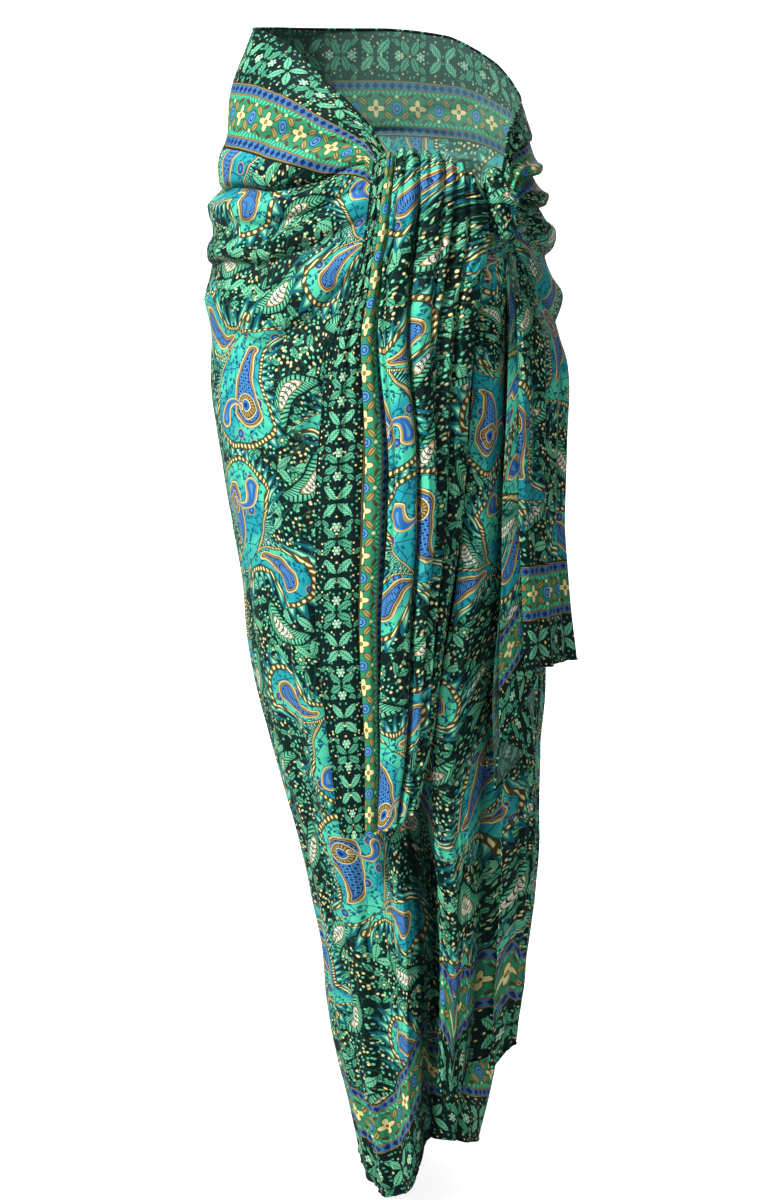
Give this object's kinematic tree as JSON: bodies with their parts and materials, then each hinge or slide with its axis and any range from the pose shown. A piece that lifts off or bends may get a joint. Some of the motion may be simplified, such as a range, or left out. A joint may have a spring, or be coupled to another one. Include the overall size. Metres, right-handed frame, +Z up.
{
  "type": "wrap sarong",
  "caption": "Ankle-length printed cloth sarong in its worn shape, wrapped round the hips and knotted at the front, with a pleated centre tail and a side tail.",
  "frame": {"origin": "middle of the waist opening, level with the upper edge at the sides, where a wearer holds the garment up", "axes": "+Z up along the wearer, -Y to the wearer's front, +X to the wearer's left"},
  "size_m": [0.3447, 0.2889, 1.0993],
  "materials": {
    "printed_cloth": "matt printed cloth"
  },
  "bodies": {
    "root": {"wrap_right_hip": "printed_cloth", "wrap_back": "printed_cloth", "wrap_left_hip": "printed_cloth", "wrap_underlap": "printed_cloth", "knot": "printed_cloth", "tail_centre": "printed_cloth", "tail_side": "printed_cloth"}
  },
  "joints": []
}
